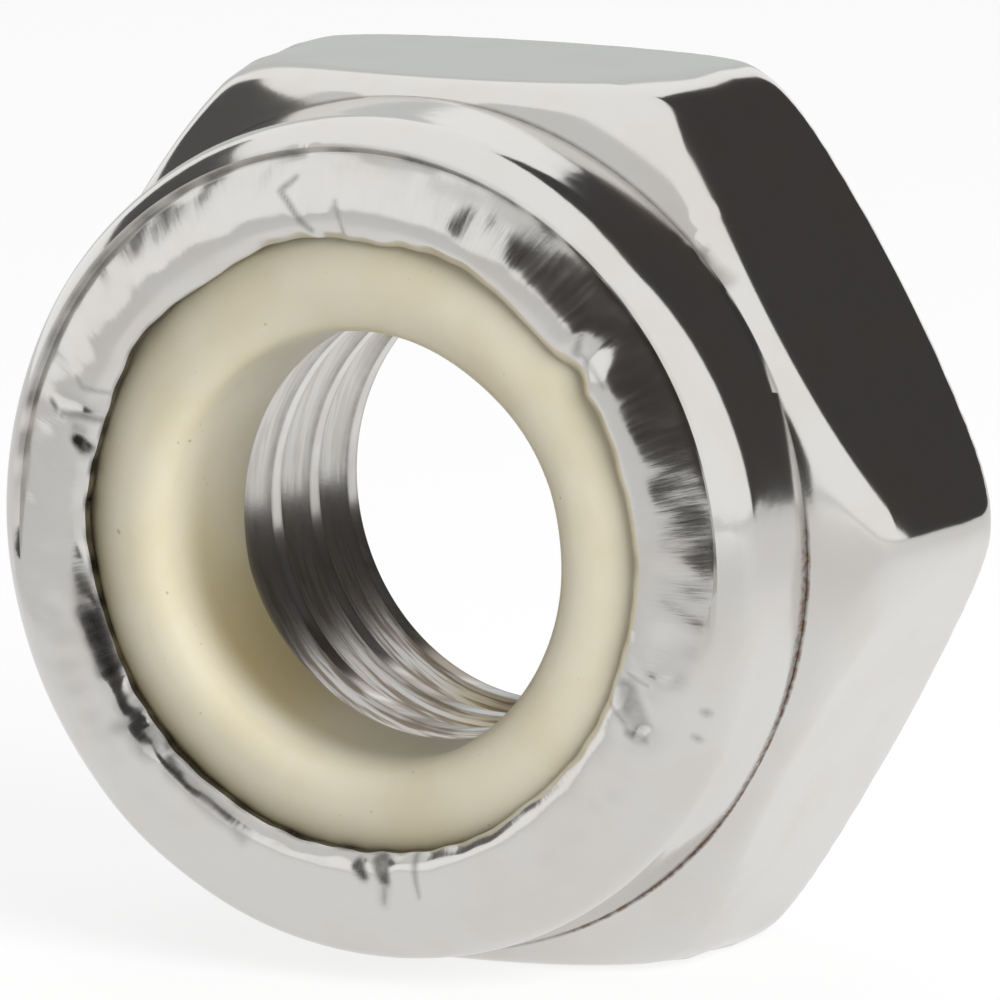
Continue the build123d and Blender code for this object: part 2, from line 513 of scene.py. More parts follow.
@dataclass(frozen=True)
class MouldedNylon:
    """Natural nylon, moulded: a waxy ivory that lets some light in, yellower where it is thick.

    Sizes are in millimetres.

    Args:
        colour: colour of the ring.
        deep_colour: colour of its deeper patches.
        edge_shade_colour: colour of the painted shade beside the lip and deep in the bore.
        speck_colour: colour of the few dark specks.
        roughness: roughness of the moulded skin.
        light_reach: how far light goes in.
        mottle_grain: size of the deeper patches.
        speck_grain: size of the specks.
        skin_grain: size of the moulded skin's unevenness.
        skin_depth: depth of that unevenness.
    """

    colour: str = "#DED7C1"
    deep_colour: str = "#D8CFB4"
    edge_shade_colour: str = "#8A7A48"
    speck_colour: str = "#8A7A5A"
    roughness: float = 0.38
    light_reach: float = 0.9
    mottle_grain: float = 1.8
    speck_grain: float = 0.16
    skin_grain: float = 0.3
    skin_depth: float = 0.004

    def build(self) -> bpy.types.Material:
        """Make the material.

        Returns:
            The finished material.
        """
        material, tree = new_material("moulded_natural_nylon")
        multiply, mix_colour = {"operation": "MULTIPLY"}, {"data_type": "RGBA"}
        smooth = {"interpolation_type": "SMOOTHSTEP"}
        where = add_node(tree, "TexCoord").outputs["Object"]

        # Colour: faint deeper patches, then painted shade beside the lip and deep in the bore, and a few
        # specks
        inputs = {"Vector": where, "Scale": 1 / (self.mottle_grain * MM), "Detail": 2.0}
        mottle = add_node(tree, "TexNoise", {}, inputs)
        deep = add_node(tree, "MapRange", smooth, {0: mottle, 1: 0.35, 2: 0.75})
        inputs = {0: deep, 6: linear(self.colour), 7: linear(self.deep_colour)}
        colour = add_node(tree, "Mix", mix_colour, inputs)
        shade = add_node(tree, "Attribute", {"attribute_name": "edge_shade"}).outputs["Fac"]
        colour = add_node(tree, "Mix", mix_colour, {0: shade, 6: colour, 7: linear(self.edge_shade_colour)})
        inputs = {"Vector": where, "Scale": 1 / (self.speck_grain * MM), "Detail": 1.0}
        speck = add_node(tree, "TexNoise", {}, inputs)
        speck = add_node(tree, "MapRange", smooth, {0: speck, 1: 0.77, 2: 0.82, 3: 0.0, 4: 0.45})
        colour = add_node(tree, "Mix", mix_colour, {0: speck, 6: colour, 7: linear(self.speck_colour)})

        # Relief in metres: the moulded skin
        inputs = {"Vector": where, "Scale": 1 / (self.skin_grain * MM), "Detail": 2.0}
        grain = add_node(tree, "TexNoise", {}, inputs)
        relief = add_node(tree, "Math", multiply, {0: grain, 1: self.skin_depth * MM})
        bump = add_node(tree, "Bump", {}, {"Strength": 1.0, "Distance": 1.0, "Height": relief})
        inputs = {
            "Base Color": colour,
            "Roughness": self.roughness,
            "IOR": 1.53,
            "Subsurface Weight": 0.35,
            "Subsurface Radius": (1.0, 0.85, 0.5),
            "Subsurface Scale": self.light_reach * MM,
            "Normal": bump,
        }
        shader = add_node(tree, "BsdfPrincipled", {"subsurface_method": "RANDOM_WALK"}, inputs)
        add_node(tree, "OutputMaterial", {}, {"Surface": shader})
        return material


# The nut


class Hand(Enum):
    """Which way a thread winds."""

    RIGHT = 1
    LEFT = -1


@dataclass
class HexBlank:
    """Outside of the hexagon: six flats, rounded corners and turned chamfers.

    Args:
        across_flats: width over two flats.
        height: height of the hexagon at the collar's foot.
        corner_radius: rounding of the upright corners.
        foot_radius: radius of the collar's foot, where the front chamfer starts.
        bearing_radius: outer radius of the bearing face.
        turned_radius: radius of the turned bar.
        front_round: rounding between the front chamfer and the bar.
        back_round: rounding between the back chamfer and the bar.
        chamfer: slope of both chamfers in degrees.
        front_rim: rounding where flats meet the front chamfer.
        back_rim: rounding where flats meet the back chamfer.
    """

    across_flats: float = 17.0
    height: float = 6.2
    corner_radius: float = 0.9
    foot_radius: float = 8.2
    bearing_radius: float = 7.9
    turned_radius: float = 9.75
    front_round: float = 3.0
    back_round: float = 1.5
    chamfer: float = 30.0
    front_rim: float = 0.9
    back_rim: float = 0.3

    @staticmethod
    def rounded(a: np.ndarray, b: np.ndarray, radius: float, between: float) -> np.ndarray:
        """Distance to the corner of two planes after it is rounded.

        Args:
            a: distance to the first plane.
            b: distance to the second plane.
            radius: rounding radius.
            between: cosine of the angle between their normals.

        Returns:
            Distance, negative inside.
        """
        u, v = a + radius, b + radius
        reach = np.sqrt(np.maximum(u * u + v * v - 2 * u * v * between, 0) / (1 - between * between))
        in_corner = (u > v * between) & (v > u * between)
        return np.where(in_corner, reach - radius, np.maximum(a, b))

    def hex_distance(self, radius: np.ndarray, angle: np.ndarray) -> np.ndarray:
        """Distance outwards from the rounded hexagon's outline."""
        side = math.radians(60)
        off = angle % side - side / 2
        out, along = radius * np.cos(off), abs(radius * np.sin(off))
        inner = self.across_flats / 2 - self.corner_radius
        half = inner * math.tan(side / 2)
        past = np.hypot(np.maximum(out - inner, 0), np.maximum(along - half, 0))
        return np.where(along > half, past, out - inner) - self.corner_radius

    def turned_distance(self, radius: np.ndarray, height: np.ndarray) -> np.ndarray:
        """Distance outwards from the turned bar with its two chamfers."""
        lean, rise = math.sin(math.radians(self.chamfer)), math.cos(math.radians(self.chamfer))
        front = (radius - self.foot_radius) * lean + (height - self.height) * rise
        back = (radius - self.bearing_radius) * lean - height * rise
        bar = radius - self.turned_radius
        shape = self.rounded(front, bar, self.front_round, lean)
        return np.maximum(shape, self.rounded(back, bar, self.back_round, lean))

    def radius_at(self, angle: np.ndarray, height: np.ndarray) -> np.ndarray:
        """Find the skin's radius at a turn angle and height.

        Args:
            angle: turn angle in radians.
            height: height above the bearing face in millimetres.

        Returns:
            Radius in millimetres.
        """
        rim = np.where(height > self.height / 2, self.front_rim, self.back_rim)
        soft = 4 * rim * (1 - math.cos(math.radians(30)))
        low = np.full_like(angle, self.bearing_radius - 1.5)
        high = np.full_like(angle, self.turned_radius + 1.0)
        for _ in range(36):
            middle = (low + high) / 2
            a, b = self.hex_distance(middle, angle), self.turned_distance(middle, height)
            near = np.maximum(soft - abs(a - b), 0) / soft
            outside = np.maximum(a, b) + near * near * soft / 4 > 0
            high = np.where(outside, middle, high)
            low = np.where(outside, low, middle)
        return (low + high) / 2


@dataclass
class Collar:
    """Thin wall over the nylon, rolled in at its shoulder and crimped to a sloping lip.

    Args:
        foot_radius: outside radius at the hexagon.
        foot_height: height of the collar's foot.
        top_radius: outside radius where the shoulder starts.
        total_height: height of the crimp's highest ring.
        shoulder_radius: rounding of the shoulder.
        shoulder_sweep: angle of the shoulder's arc in degrees.
        crease_width: width of the crease between shoulder and crimp.
        crease_depth: drop into the crease.
        crimp_slope: mean slope of the crimp in degrees.
        crimp_entry: slope beside the lip, as a share of the mean slope.
        lip_radius: radius of the lip's opening.
        lip_width: width of the lip's rounded nose.
        lip_drop: drop of the nose to its front edge.
        lip_bulge: fullness of the nose.
        lip_edge: height of the lip's inner wall.
        pocket_radius: radius of the pocket that holds the ring.
        pocket_cone: height of the pocket's tapered top.
        seat_height: height of the pocket's floor.
    """

    foot_radius: float = 8.2
    foot_height: float = 6.2
    top_radius: float = 8.06
    total_height: float = 8.95
    shoulder_radius: float = 1.25
    shoulder_sweep: float = 52.0
    crease_width: float = 0.12
    crease_depth: float = 0.14
    crimp_slope: float = 20.0
    crimp_entry: float = 0.3
    lip_radius: float = 5.85
    lip_width: float = 0.46
    lip_drop: float = 0.22
    lip_bulge: float = 0.06
    lip_edge: float = 0.2
    pocket_radius: float = 7.05
    pocket_cone: float = 1.03
    seat_height: float = 5.7

    def crimp_run(self, start: Point, end: Point, count: int) -> list[Point]:
        """Divide the crimped slope, which starts flat beside the lip and steepens outwards.

        Args:
            start: first point, at the lip.
            end: point the slope goes to, at the crease.
            count: number of points.

        Returns:
            Points from start on.
        """
        points = []
        for i in range(count):
            t = i / count
            share = self.crimp_entry * t + (1 - self.crimp_entry) * 1.5 * (t * t - t**3 / 3)
            points.append((start[0] + (end[0] - start[0]) * t, start[1] + (end[1] - start[1]) * share))
        return points

    def section(self) -> list[Point]:
        """Draw the collar from the pocket's floor over the lip down to its foot.

        Returns:
            Radius and height of each point.
        """
        sweep = math.radians(self.shoulder_sweep)
        centre_radius = self.top_radius - self.shoulder_radius
        end_radius = centre_radius + self.shoulder_radius * math.cos(sweep)
        crease_radius = end_radius - self.crease_width
        crimp_radius = self.lip_radius + self.lip_width
        fall = (crease_radius - crimp_radius) * math.tan(math.radians(self.crimp_slope))
        crease_height = self.total_height - fall
        end_height = crease_height + self.crease_depth
        centre_height = end_height - self.shoulder_radius * math.sin(sweep)
        front = self.total_height - self.lip_drop
        back = front - self.lip_edge
        nose = (
            (crimp_radius + self.lip_radius) / 2,
            (self.total_height + front) / 2 + self.lip_bulge,
        )
        pocket_top = back - self.pocket_cone
        points = run_to((self.pocket_radius, self.seat_height), (self.pocket_radius, pocket_top), 2)
        points += run_to((self.pocket_radius, pocket_top), (self.lip_radius, back), 5)
        points += run_to((self.lip_radius, back), (self.lip_radius, front), 3)
        points += bow_to((self.lip_radius, front), nose, (crimp_radius, self.total_height), 8)
        points += self.crimp_run((crimp_radius, self.total_height), (crease_radius, crease_height), 17)
        points += run_to((crease_radius, crease_height), (end_radius, end_height), 2)
        points += arc_to((centre_radius, centre_height), self.shoulder_radius, self.shoulder_sweep, 0, 12)
        points += run_to((self.top_radius, centre_height), (self.foot_radius, self.foot_height), 6)
        return points


@dataclass
class Mark:
    """One mark of the punch or a knock, drawn as it is seen from the front.

    Args:
        path: places (x, z) in millimetres that its middle runs through.
        width: width at its first and last place.
        depth: how deep it lies at its first and last place; below zero it stands up.
        dirt_and_shade: how dark it is painted with dirt and shade, from 0 to 1; below zero it takes dirt
            and painted shade away.
        soft: width of its side walls.
    """

    path: tuple[Point, ...]
    width: Point
    depth: Point
    dirt_and_shade: float = 0.0
    soft: float = 0.06

    def press(self, x: np.ndarray, z: np.ndarray) -> tuple[np.ndarray, np.ndarray]:
        """Find how much of the mark reaches each place.

        Args:
            x: places across the nut in millimetres.
            z: places up the nut in millimetres.

        Returns:
            Share of the mark from 0 to 1, and its depth in millimetres.
        """
        nearest = np.full_like(x, 1e9)
        along = np.zeros_like(x)
        runs = len(self.path) - 1
        for number, (start, end) in enumerate(zip(self.path, self.path[1:])):
            run_x, run_z = end[0] - start[0], end[1] - start[1]
            part = ((x - start[0]) * run_x + (z - start[1]) * run_z) / (run_x**2 + run_z**2)
            part = np.clip(part, 0, 1)
            gap = np.hypot(x - start[0] - part * run_x, z - start[1] - part * run_z)
            closer = gap < nearest
            nearest = np.where(closer, gap, nearest)
            along = np.where(closer, (number + part) / runs, along)
        half = (self.width[0] + (self.width[1] - self.width[0]) * along) / 2
        share = step_up(nearest - half, self.soft, -self.soft)
        return share, share * (self.depth[0] + (self.depth[1] - self.depth[0]) * along)


@dataclass
class Thread:
    """Internal thread with its countersink.

    Args:
        core_radius: radius of the crests.
        root_radius: radius of the roots.
        pitch: advance in one turn.
        crest_flat: width of a crest.
        root_flat: width of a root.
        phase: part of a turn by which the thread is set round.
        hand: which way it winds.
        countersink_radius: radius of the countersink's mouth.
        top: height of the thread's inner end.
        rim_radius: outer radius of the seat that is made with the thread.
        columns: columns round the thread.
        root_dirt_and_shade: dirt and painted shade along the roots, from 0 to 1.
        crest_dirt_and_shade: dirt and painted shade beside the crests, from 0 to 1.
    """

    core_radius: float = 4.2
    root_radius: float = 5.0
    pitch: float = 1.5
    crest_flat: float = 0.386
    root_flat: float = 0.19
    phase: float = -29 / 360
    hand: Hand = Hand.RIGHT
    countersink_radius: float = 5.2
    top: float = 5.7
    rim_radius: float = 6.7
    columns: int = 216
    root_dirt_and_shade: float = 0.25
    crest_dirt_and_shade: float = 0.4

    def rows(self) -> list[float]:
        """List the heights of one groove's rows, from the middle of a crest to the next."""
        crest, flank, root = self.pitch / 2, (self.pitch - self.crest_flat) / 2, self.root_flat / 2
        fall = run_to((-crest, 0), (-flank, 0), 2) + run_to((-flank, 0), (-root, 0), 5) + [(-root, 0)]
        heights = [height for height, _ in fall]
        return heights + [0.0] + [-height for height in reversed(heights[1:])]

    def radius_at(self, angle: np.ndarray, height: np.ndarray) -> np.ndarray:
        """Find the wall's radius at a turn angle and height.

        Args:
            angle: turn angle in radians.
            height: height above the bearing face in millimetres.

        Returns:
            Radius in millimetres.
        """
        turns = height / self.pitch - self.hand.value * angle / FULL_TURN - self.phase
        off = abs((turns + 0.5) % 1 - 0.5) * self.pitch
        flank_start = self.root_flat / 2
        flank_end = (self.pitch - self.crest_flat) / 2
        share = np.clip((off - flank_start) / (flank_end - flank_start), 0, 1)
        wall = self.root_radius + (self.core_radius - self.root_radius) * share
        return np.maximum(wall, self.countersink_radius - height)

    def dirt_and_shade_at(self, angle: np.ndarray, height: np.ndarray) -> np.ndarray:
        """Find how much dirt and painted shade lie along the thread's roots and beside its crests.

        Args:
            angle: turn angle in radians.
            height: height above the bearing face in millimetres.

        Returns:
            Dirt and painted shade from 0 to 1.
        """
        turns = height / self.pitch - self.hand.value * angle / FULL_TURN - self.phase
        off = abs((turns + 0.5) % 1 - 0.5) * self.pitch
        root = self.root_dirt_and_shade * step_up(off, 0.15, 0.05)
        past_crest = off - (self.pitch - self.crest_flat) / 2
        beside_crest = self.crest_dirt_and_shade * np.exp(-((past_crest / 0.03) ** 2))
        return np.maximum(root, beside_crest)

    def build_wall(self) -> bpy.types.Object:
        """Roll a grid into the bore, its rows following the thread as it winds.

        Returns:
            The wall from the countersink's mouth to the seat's rim, open at both.
        """
        grooves = math.ceil(self.top / self.pitch) + 3
        offsets = [
            offset + self.pitch * groove for groove in range(-1, grooves - 1) for offset in self.rows()
        ]
        clear_selection()
        bpy.ops.mesh.primitive_grid_add(
            x_subdivisions=self.columns, y_subdivisions=len(offsets) - 1, size=1.0
        )
        wall = bpy.context.object
        wall.name = "thread_wall"
        flat = np.empty(len(wall.data.vertices) * 3)
        wall.data.vertices.foreach_get("co", flat)
        across, along, _ = flat.reshape(-1, 3).T
        angle = np.round((across + 0.5) * self.columns) / self.columns * FULL_TURN - math.pi
        row = np.round((along + 0.5) * (len(offsets) - 1)).astype(int)
        turns = self.hand.value * angle / FULL_TURN + self.phase
        height = np.clip(turns * self.pitch + np.array(offsets)[row], 0, self.top)
        radius = self.radius_at(angle, height)
        radius[row == len(offsets) - 1] = self.rim_radius
        Cylinder(radius, height, angle).write(wall)
        bpy.ops.object.mode_set(mode="EDIT")
        bpy.ops.mesh.select_all(action="SELECT")
        bpy.ops.mesh.remove_doubles(threshold=1e-7)
        bpy.ops.object.mode_set(mode="OBJECT")
        return wall


@dataclass
class NutBody:
    """The steel nut: hexagon, thread, collar, lip and the marks of its making in one piece.

    Args:
        blank: the hexagon.
        collar: the collar.
        thread: the thread.
        marks: the punched marks that lock the ring, with the slips of the punch beside them.
        columns: columns round the skin.
        crest_limit: height that nothing on the front passes.
        hammering: unevenness of the crimped slope.
        lip_waviness: how far the lip's edge wanders in and out.
        lip_nibbles: fine unevenness of the lip's edge.
        wall_waviness: unevenness of the rolled wall.
        mark_wobble: how far the marks' outlines wander.
        smooth_start: radius, height and slope where the smooth lower half of the crimp starts.
        smooth_end: radius, height and slope where it ends.
    """

    blank: HexBlank = field(default_factory=HexBlank)
    collar: Collar = field(default_factory=Collar)
    thread: Thread = field(default_factory=Thread)
    marks: tuple[Mark, ...] = (
        # Each mark's darkness is painted: painted shade in its pits, lines and crevices, together with
        # dirt
        # Top: a light tongue, and a knock in the shoulder above it
        Mark(((-0.95, 6.75), (-0.52, 6.05)), (0.95, 0.62), (0.02, 0.07), 0.0, 0.16),
        Mark(((-0.98, 7.56), (-0.78, 7.6)), (0.22, 0.22), (-0.04, -0.04), -1.0, 0.12),
        # Upper right: a bright pocket that slopes down to the nylon
        Mark(((5.72, 4.55), (4.62, 3.68)), (0.5, 0.55), (-0.02, 0.21), -0.5, 0.3),
        # Left: a tongue with a square hole below it
        Mark(((-6.25, 2.42), (-5.35, 2.25)), (0.34, 0.30), (0.02, 0.05), 0.1, 0.14),
        Mark(((-5.90, 1.70), (-5.78, 1.46)), (0.24, 0.22), (0.06, 0.06), 0.5, 0.16),
        # Lower left: a dark smear with a bright spot in it
        Mark(((-4.78, -3.42), (-4.58, -4.05)), (0.6, 0.62), (0.03, 0.05), 0.42, 0.26),
        Mark(((-4.70, -3.75), (-5.18, -3.85)), (0.5, 0.2), (0.03, 0.01), 0.4, 0.2),
        Mark(((-4.66, -3.63), (-4.63, -3.73)), (0.12, 0.12), (-0.04, -0.04), -1.0, 0.06),
        # Bottom: two pits with a light tongue beside them
        Mark(((0.06, -6.10), (0.20, -6.32)), (0.2, 0.14), (0.04, 0.03), 0.4, 0.14),
        Mark(((0.52, -5.96), (0.60, -6.30), (0.56, -6.76)), (0.3, 0.1), (0.04, 0.01), 0.3, 0.16),
        Mark(((0.96, -6.02), (1.04, -6.50)), (0.36, 0.34), (-0.02, -0.03), -1.0, 0.12),
        # Right: a grey notch under a bright curved rim
        Mark(((5.80, -1.17), (6.02, -1.62), (6.20, -1.95)), (0.1, 0.14), (-0.03, -0.03), -0.8, 0.14),
        Mark(((5.78, -2.22), (6.04, -2.86)), (0.5, 0.36), (0.06, 0.07), 0.4, 0.16),
        # Painted shade on the lip's inner slope beside the nylon, left and lower left
        Mark(((-5.93, -1.00), (-5.84, -1.67)), (0.28, 0.38), (0.02, 0.02), 0.5, 0.18),
        Mark(((-5.84, -1.67), (-5.65, -2.23), (-5.38, -2.79)), (0.38, 0.36), (0.02, 0.03), 0.85, 0.12),
        Mark(((-3.94, -4.60), (-2.90, -5.42), (-2.40, -5.74)), (0.3, 0.2), (0.01, 0.01), 0.3, 0.2),
        # Knocks on the chamfer
        Mark(((5.86, 6.30), (5.94, 6.22)), (0.2, 0.16), (0.06, 0.06), -1.0, 0.1),
        Mark(((5.98, 5.92), (6.06, 5.84)), (0.14, 0.12), (0.05, 0.05), 0.0, 0.09),
        Mark(((6.05, 5.65), (6.50, 5.10)), (0.1, 0.2), (0.0, 0.02), 0.4, 0.12),
        # Thin lines and small pits that the punch's edge left, painted dark with dirt and shade: top
        Mark(((-1.24, 6.96), (-1.53, 6.68), (-0.86, 5.95)), (0.09, 0.09), (0.01, 0.01), 0.6, 0.07),
        Mark(((-0.30, 6.53), (-0.18, 6.05)), (0.07, 0.09), (0.0, 0.01), 0.4, 0.07),
        # The same, upper right
        Mark(((4.77, 4.06), (4.88, 4.40)), (0.2, 0.06), (0.0, 0.0), 0.45, 0.07),
        Mark(((4.85, 4.05), (5.22, 3.66), (5.38, 3.48)), (0.06, 0.1), (0.0, 0.0), 0.35, 0.07),
        # The same, left
        Mark(((-5.95, 2.85), (-5.80, 2.66), (-5.20, 2.54)), (0.04, 0.09), (0.0, 0.01), 0.4, 0.07),
        Mark(((-6.59, 2.23), (-6.50, 2.14)), (0.14, 0.12), (0.0, 0.0), 0.75, 0.07),
        Mark(((-6.33, 2.06), (-5.91, 2.07), (-5.40, 1.97)), (0.1, 0.14), (0.0, 0.01), 0.55, 0.08),
        Mark(((-5.95, 1.86), (-5.80, 1.80)), (0.18, 0.18), (0.0, 0.0), 0.35, 0.08),
        Mark(((-5.92, 1.62), (-5.84, 1.50)), (0.3, 0.28), (0.0, 0.0), 1.0, 0.07),
        # The same, lower left
        Mark(((-4.33, -3.85), (-4.12, -4.21)), (0.14, 0.12), (0.0, 0.0), 0.75, 0.08),
        Mark(((-4.05, -4.42), (-3.86, -4.64)), (0.16, 0.14), (0.0, 0.0), 0.8, 0.08),
        # The same, bottom
        Mark(((0.05, -6.09), (0.19, -6.30)), (0.26, 0.18), (0.0, 0.0), 0.9, 0.07),
        Mark(((0.50, -5.96), (0.60, -6.30)), (0.32, 0.24), (0.0, 0.0), 0.8, 0.08),
        Mark(((0.60, -6.30), (0.56, -6.74)), (0.16, 0.08), (0.0, 0.0), 0.5, 0.08),
        Mark(((1.22, -5.78), (1.35, -6.58)), (0.09, 0.05), (0.01, 0.0), 0.55, 0.07),
        # The same, right
        Mark(((5.80, -1.87), (6.24, -2.07)), (0.09, 0.05), (0.01, 0.0), 0.45, 0.07),
        Mark(((5.84, -3.01), (6.23, -3.12)), (0.12, 0.08), (0.0, 0.0), 0.55, 0.08),
        Mark(((5.44, -2.50), (5.81, -2.89)), (0.06, 0.09), (0.0, 0.0), 0.4, 0.07),
        Mark(((7.24, -2.56), (7.27, -2.60)), (0.12, 0.12), (0.0, 0.0), 0.45, 0.08),
        Mark(((7.07, -3.05), (7.10, -3.09)), (0.1, 0.1), (0.0, 0.0), 0.45, 0.08),
    )
    columns: int = 720
    crest_limit: float = 8.94
    hammering: float = 0.009
    lip_waviness: float = 0.032
    lip_nibbles: float = 0.008
    wall_waviness: float = 0.006
    mark_wobble: float = 0.02
    smooth_start: tuple[float, float, float] = (6.5, 8.918, -0.225)
    smooth_end: tuple[float, float, float] = (7.58, 8.6716, -0.78)

    def hex_rows(self) -> list[Point]:
        """List the rows of the hexagon's skin from the collar's foot to the bearing face."""
        # Close rows over the front chamfer, wide ones down the flats, close ones over the back chamfer
        heights = [self.blank.height - 0.07 * (i + 0.5) for i in range(20)]
        heights += [heights[-1] - 0.75 * (i + 1) for i in range(4)]
        last = heights[-1]
        heights += [last - (last - 0.02) * (i + 1) / 17 for i in range(17)]
        return [(self.blank.turned_radius, height) for height in heights]

    def build_mesh(self) -> bpy.types.Object:
        """Spin skin and thread, join them into one shell and form it.

        Returns:
            The formed piece.
        """
        mouth = self.thread.countersink_radius
        skin_end = mouth + 0.15
        section = self.collar.section()
        section.append((self.blank.foot_radius, self.blank.height))
        section += self.hex_rows()
        bearing = self.blank.bearing_radius - 0.04
        section += run_to((bearing, 0.0), (skin_end, 0.0), 4) + [(skin_end, 0.0)]
        skin = spin_section("steel_nut", section, self.columns, closed=False)
        wall = self.thread.build_wall()

        clear_selection()
        wall.select_set(True)
        skin.select_set(True)
        bpy.context.view_layer.objects.active = skin
        bpy.ops.object.join()
        seat = self.collar.seat_height
        bridge_rims(skin, [(skin_end, 0.0), (mouth, 0.0)])
        bridge_rims(skin, [(self.thread.rim_radius, seat), (self.collar.pocket_radius, seat)])
        self.form(skin)
        close_shell(skin, 38.0)
        return skin

    def form(self, skin: bpy.types.Object) -> None:
        """Move the spun rows to the hexagon and the crimped lip, and mark where dirt and painted shade
        lie.

        Args:
            skin: the joined shell.
        """
        place = Cylinder.of(skin)
        shaped = Cylinder(place.radius.copy(), place.height.copy(), place.angle)
        grime_and_shade = np.zeros_like(place.radius)
        rust = np.zeros_like(place.radius)

        on_hex = (place.radius > 9.0) & (place.height < self.blank.height)
        shaped.radius[on_hex] = self.blank.radius_at(place.angle[on_hex], place.height[on_hex])
        self.dent_collar(place, shaped)
        self.strike(place, shaped, grime_and_shade)
        self.soil_and_shade(place, grime_and_shade, rust)

        # Whatever the unevenness lifts near the limit is eased under it
        room = 0.05
        limit = self.crest_limit - room
        over = np.maximum(shaped.height - limit, 0)
        shaped.height = np.where(over > 0, limit + room * np.tanh(over / room), shaped.height)
        shaped.write(skin)
        mark_points(skin, "grime_and_shade", grime_and_shade)
        mark_points(skin, "rust", rust)

    def dent_collar(self, place: Cylinder, shaped: Cylinder) -> None:
        """Give the collar the unevenness that rolling and crimping leave.

        Args:
            place: places before forming.
            shaped: places after forming, changed in place.
        """
        angle = place.angle
        on_front = (place.height > 8.3) & (place.radius < 7.7) & (place.radius > 5.8)
        on_wall = (place.height > self.collar.foot_height + 0.1) & (place.radius > 7.7)
        slope = step_up(place.radius, 5.9, 6.3) * step_up(place.radius, 7.5, 7.3)
        hammered = Ripple(11, (5, 40), 0.7, 40).at(angle, place.radius)
        ragged = Ripple(13, (20, 90), 1.0, 50).at(angle, place.radius)
        uneven = self.hammering * hammered + 0.002 * ragged
        shaped.height += np.where(on_front, uneven * slope, 0)

        # Round the lower half there is no crease: the crimp runs up smoothly into the shoulder
        folded = band(turn_from(angle, 92), math.radians(-84), math.radians(82), math.radians(24))
        inner, outer = self.smooth_start, self.smooth_end
        span = outer[0] - inner[0]
        t = np.clip((place.radius - inner[0]) / span, 0, 1)
        smooth = inner[1] + (outer[1] - inner[1]) * t * t * (3 - 2 * t)
        smooth += span * (inner[2] * t * (1 - t) ** 2 - outer[2] * t * t * (1 - t))
        on_crimp = on_front & (place.radius > inner[0]) & (place.radius < outer[0])
        shaped.height += np.where(on_crimp, (1 - folded) * (smooth - place.height), 0)

        waviness = Ripple(5, (2, 11), 0.0, 16).at(angle)
        nibbles = Ripple(9, (16, 60), 0.0, 30).at(angle)
        edge = step_up(place.radius, 6.2, 5.9)
        wander = self.lip_waviness * waviness + self.lip_nibbles * nibbles
        shaped.radius += np.where(on_front, edge * wander, 0)
        rolled = Ripple(21, (4, 18), 0.4, 24).at(angle, place.height)
        shaped.radius += np.where(on_wall, self.wall_waviness * rolled, 0)

    def strike(self, place: Cylinder, shaped: Cylinder, grime_and_shade: np.ndarray) -> None:
        """Press the marks into the lip and the chamfer.

        Args:
            place: places before forming.
            shaped: places after forming, changed in place.
            grime_and_shade: amounts of dirt and painted shade, changed in place.
        """
        on_collar = (place.height > 8.3) & (place.radius > 5.8) & (place.radius < 8.0)
        on_chamfer = (shaped.radius > 8.15) & (place.height > 5.2) & (place.height < 6.25)
        struck = np.nonzero(on_collar | on_chamfer)[0]
        radius, angle = shaped.radius[struck], place.angle[struck]
        wobble_x = self.mark_wobble * Ripple(51, (12, 70), 0.7, 20).at(angle, radius)
        wobble_z = self.mark_wobble * Ripple(52, (12, 70), 0.7, 20).at(angle, radius)
        x, z = radius * np.cos(angle) + wobble_x, radius * np.sin(angle) + wobble_z
        dirt_and_shade = grime_and_shade[struck]
        for mark in self.marks:
            share, depth = mark.press(x, z)
            shaped.height[struck] -= depth
            added = np.maximum(dirt_and_shade, mark.dirt_and_shade * share)
            dirt_and_shade = added if mark.dirt_and_shade >= 0 else dirt_and_shade * (1 + mark.dirt_and_shade * share)
        grime_and_shade[struck] = dirt_and_shade

    def soil_and_shade(self, place: Cylinder, grime_and_shade: np.ndarray, rust: np.ndarray) -> None:
        """Darken the crevices with painted shade and dirt: the lip's edge, the crease, the collar's foot
        and the thread.

        Args:
            place: places before forming.
            grime_and_shade: amounts of dirt and painted shade, changed in place.
            rust: rust amounts, changed in place.
        """
        angle = place.angle
        uneven = Ripple(61, (6, 60), 0.0, 30).at(angle)
        # Painted shade along the lip's edge beside the nylon, on the lower left only
        lip_edge = band(place.radius, 5.8, 5.86, 0.04) * (place.height > 8.45)
        lower_left = band(turn_from(angle, 205), math.radians(-72), math.radians(64), math.radians(14))
        grime_and_shade[:] = np.maximum(grime_and_shade, lip_edge * lower_left * np.clip(0.35 + 0.25 * uneven, 0, 0.8))

        # Painted shade in the crease between shoulder and crimp, on the upper side
        crease = np.exp(-(((place.radius - 7.5) / 0.07) ** 2)) * (place.height > 8.4)
        upper = band(turn_from(angle, 92), math.radians(-60), math.radians(70), math.radians(20))
        grime_and_shade[:] = np.maximum(grime_and_shade, 0.7 * crease * upper * np.clip(0.7 + 0.3 * uneven, 0, 1))

        # The collar's foot is darkened all round, more on the lower right, where rust is laid
        foot = band(place.height, 6.12, 6.3, 0.06) * band(place.radius, 8.1, 8.45, 0.1)
        foot = foot * (place.radius < 9.0)
        lower_right = band(turn_from(angle, -30), math.radians(-34), math.radians(30), math.radians(8))
        grime_and_shade[:] = np.maximum(grime_and_shade, (0.5 + 0.3 * lower_right) * foot)
        rust[:] = np.maximum(rust, foot * lower_right)

        # Dirt and painted shade along the thread's roots and beside its crests
        in_bore = place.radius < self.thread.countersink_radius
        grime_and_shade[:] = np.maximum(grime_and_shade, in_bore * self.thread.dirt_and_shade_at(angle, place.height))

    def dress(self, skin: bpy.types.Object, steel: bpy.types.Material) -> None:
        """Give the nut its finish and tie it to the frame."""
        skin.data.materials.clear()
        skin.data.materials.append(steel)
        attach(skin, "root")
        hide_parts("nut_body")


